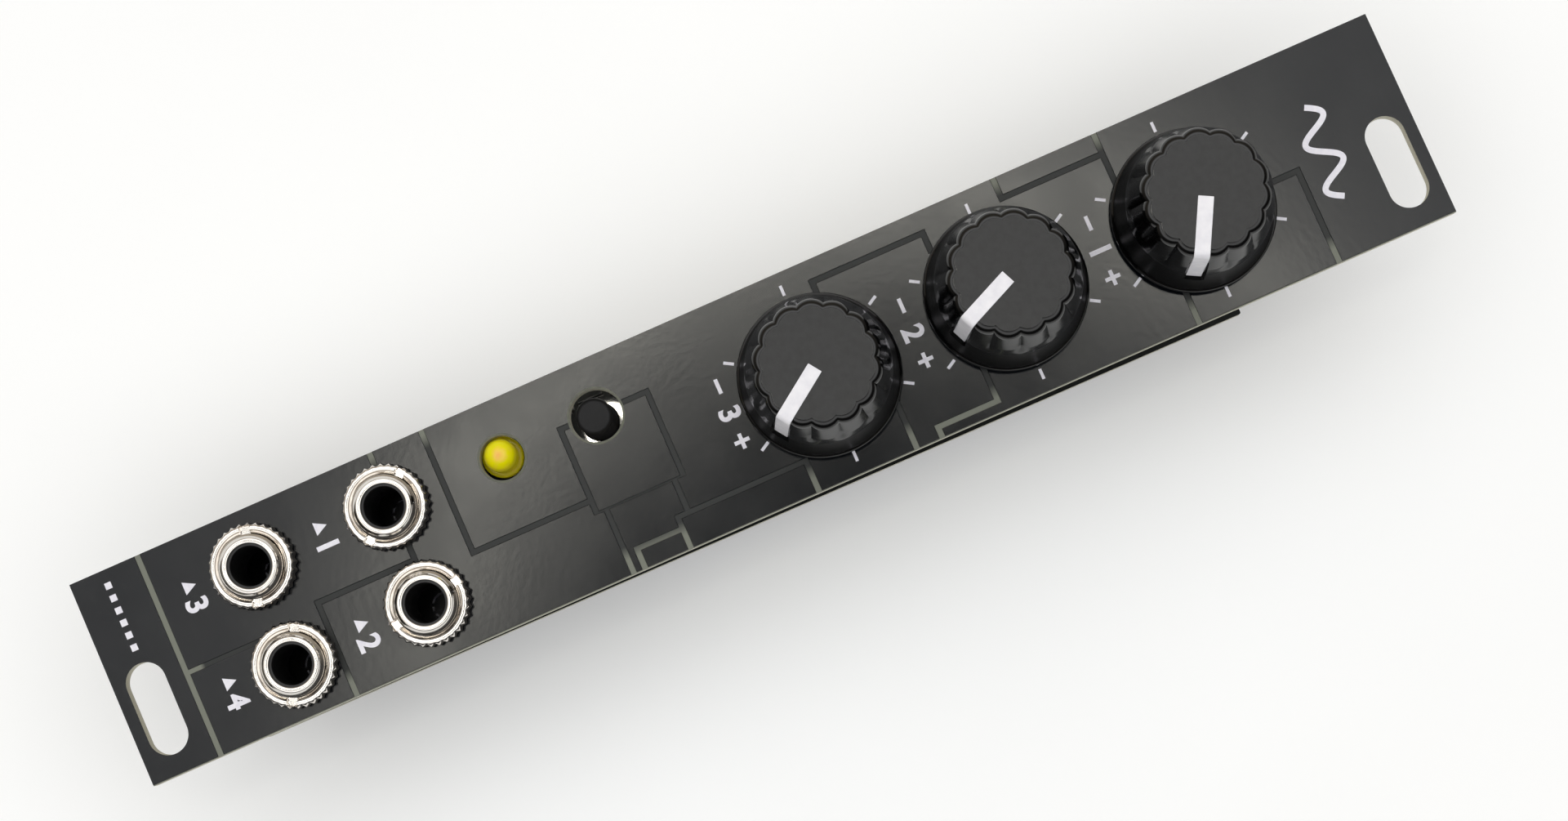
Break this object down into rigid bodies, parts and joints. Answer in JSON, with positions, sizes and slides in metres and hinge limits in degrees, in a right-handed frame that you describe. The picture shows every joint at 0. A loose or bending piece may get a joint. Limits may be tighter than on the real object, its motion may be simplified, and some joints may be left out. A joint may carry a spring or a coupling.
{
  "type": "eurorack module",
  "caption": "Narrow synthesiser rack module with fluted skirted knobs, a push button, a light and patch sockets on a dark circuit-board panel.",
  "frame": {"origin": "below the middle of the panel, on the surface that the module lies on, its knobs upwards", "axes": "+X to the panel's right, +Y to the panel's top, +Z out of the panel's face"},
  "size_m": [0.0198, 0.1284, 0.0348],
  "materials": {
    "solder_mask": "satin black solder mask over glass-epoxy board",
    "board_mask": "satin black solder mask",
    "black_nylon": "moulded black nylon",
    "nickel_plate": "bright nickel plate",
    "phosphor_bronze": "sprung bronze strip",
    "tin_plate": "dull tin plate",
    "phenolic_wafer": "paper phenolic",
    "knob_black": "satin moulded thermoset",
    "pointer_white": "white moulded plastic",
    "button_black": "satin moulded plastic",
    "lens_yellow": "clear-tinted epoxy lens",
    "chip_epoxy": "matt moulded epoxy",
    "controller_blue": "blue solder mask",
    "capacitor_sleeve": "shrunk plastic sleeve"
  },
  "bodies": {
    "module": {"front_panel": "solder_mask", "main_board": "board_mask", "jack_1_housing": "black_nylon", "jack_1_bush": "nickel_plate", "jack_1_nut": "nickel_plate", "jack_1_switch_contact": "phosphor_bronze", "jack_2_housing": "black_nylon", "jack_2_bush": "nickel_plate", "jack_2_nut": "nickel_plate", "jack_2_switch_contact": "phosphor_bronze", "jack_3_housing": "black_nylon", "jack_3_bush": "nickel_plate", "jack_3_nut": "nickel_plate", "jack_3_switch_contact": "phosphor_bronze", "jack_4_housing": "black_nylon", "jack_4_bush": "nickel_plate", "jack_4_nut": "nickel_plate", "jack_4_switch_contact": "phosphor_bronze", "pot_1_wafer": "phenolic_wafer", "pot_1_can": "tin_plate", "pot_1_bush": "nickel_plate", "pot_1_nut": "nickel_plate", "pot_2_wafer": "phenolic_wafer", "pot_2_can": "tin_plate", "pot_2_bush": "nickel_plate", "pot_2_nut": "nickel_plate", "pot_3_wafer": "phenolic_wafer", "pot_3_can": "tin_plate", "pot_3_bush": "nickel_plate", "pot_3_nut": "nickel_plate", "button_base": "black_nylon", "button_cover": "nickel_plate", "led_lens": "lens_yellow", "led_anode_lead": "tin_plate", "led_cathode_lead": "tin_plate", "controller_board": "controller_blue", "header_strip_left": "black_nylon", "header_strip_right": "black_nylon", "controller_chip": "chip_epoxy", "usb_socket": "nickel_plate", "reset_base": "black_nylon", "power_header": "black_nylon", "capacitor_left": "capacitor_sleeve", "capacitor_right": "capacitor_sleeve"},
    "knob_1": {"pot_1_knob": "knob_black", "pot_1_pointer": "pointer_white", "pot_1_shaft": "tin_plate"},
    "knob_2": {"pot_2_knob": "knob_black", "pot_2_pointer": "pointer_white", "pot_2_shaft": "tin_plate"},
    "knob_3": {"pot_3_knob": "knob_black", "pot_3_pointer": "pointer_white", "pot_3_shaft": "tin_plate"},
    "push_button": {"button_plunger": "button_black"},
    "reset_button": {"reset_plunger": "pointer_white"},
    "jack_1_spring": {"jack_1_tip_spring": "phosphor_bronze"},
    "jack_2_spring": {"jack_2_tip_spring": "phosphor_bronze"},
    "jack_3_spring": {"jack_3_tip_spring": "phosphor_bronze"},
    "jack_4_spring": {"jack_4_tip_spring": "phosphor_bronze"}
  },
  "joints": [
    {"name": "knob_1_turn", "type": "hinge", "parent": "module", "child": "knob_1", "pos_m": [0.00024, 0.04251, 0.028], "axis": [0, 0, 1], "range_deg": [-32, 268]},
    {"name": "knob_2_turn", "type": "hinge", "parent": "module", "child": "knob_2", "pos_m": [-0.00012, 0.02418, 0.028], "axis": [0, 0, 1], "range_deg": [0, 300]},
    {"name": "knob_3_turn", "type": "hinge", "parent": "module", "child": "knob_3", "pos_m": [0.00027, 0.00565, 0.028], "axis": [0, 0, 1], "range_deg": [-5, 295]},
    {"name": "button_press", "type": "slide", "parent": "module", "child": "push_button", "axis": [0, 0, -1], "range_m": [0, 0.0003], "stiffness_N_per_m": 3000},
    {"name": "reset_press", "type": "slide", "parent": "module", "child": "reset_button", "axis": [0, 0, 1], "range_m": [0, 0.0002], "stiffness_N_per_m": 3000},
    {"name": "jack_1_spring_bend", "type": "hinge", "parent": "module", "child": "jack_1_spring", "pos_m": [-0.00465, -0.03145, 0.0111], "axis": [-1, 0, 0], "range_deg": [0, 6], "stiffness_Nm_per_rad": 0.1},
    {"name": "jack_2_spring_bend", "type": "hinge", "parent": "module", "child": "jack_2_spring", "pos_m": [0.0048, -0.03145, 0.0111], "axis": [-1, 0, 0], "range_deg": [0, 6], "stiffness_Nm_per_rad": 0.1},
    {"name": "jack_3_spring_bend", "type": "hinge", "parent": "module", "child": "jack_3_spring", "pos_m": [-0.0046, -0.0446, 0.0111], "axis": [-1, 0, 0], "range_deg": [0, 6], "stiffness_Nm_per_rad": 0.1},
    {"name": "jack_4_spring_bend", "type": "hinge", "parent": "module", "child": "jack_4_spring", "pos_m": [0.00505, -0.0446, 0.0111], "axis": [-1, 0, 0], "range_deg": [0, 6], "stiffness_Nm_per_rad": 0.1}
  ]
}
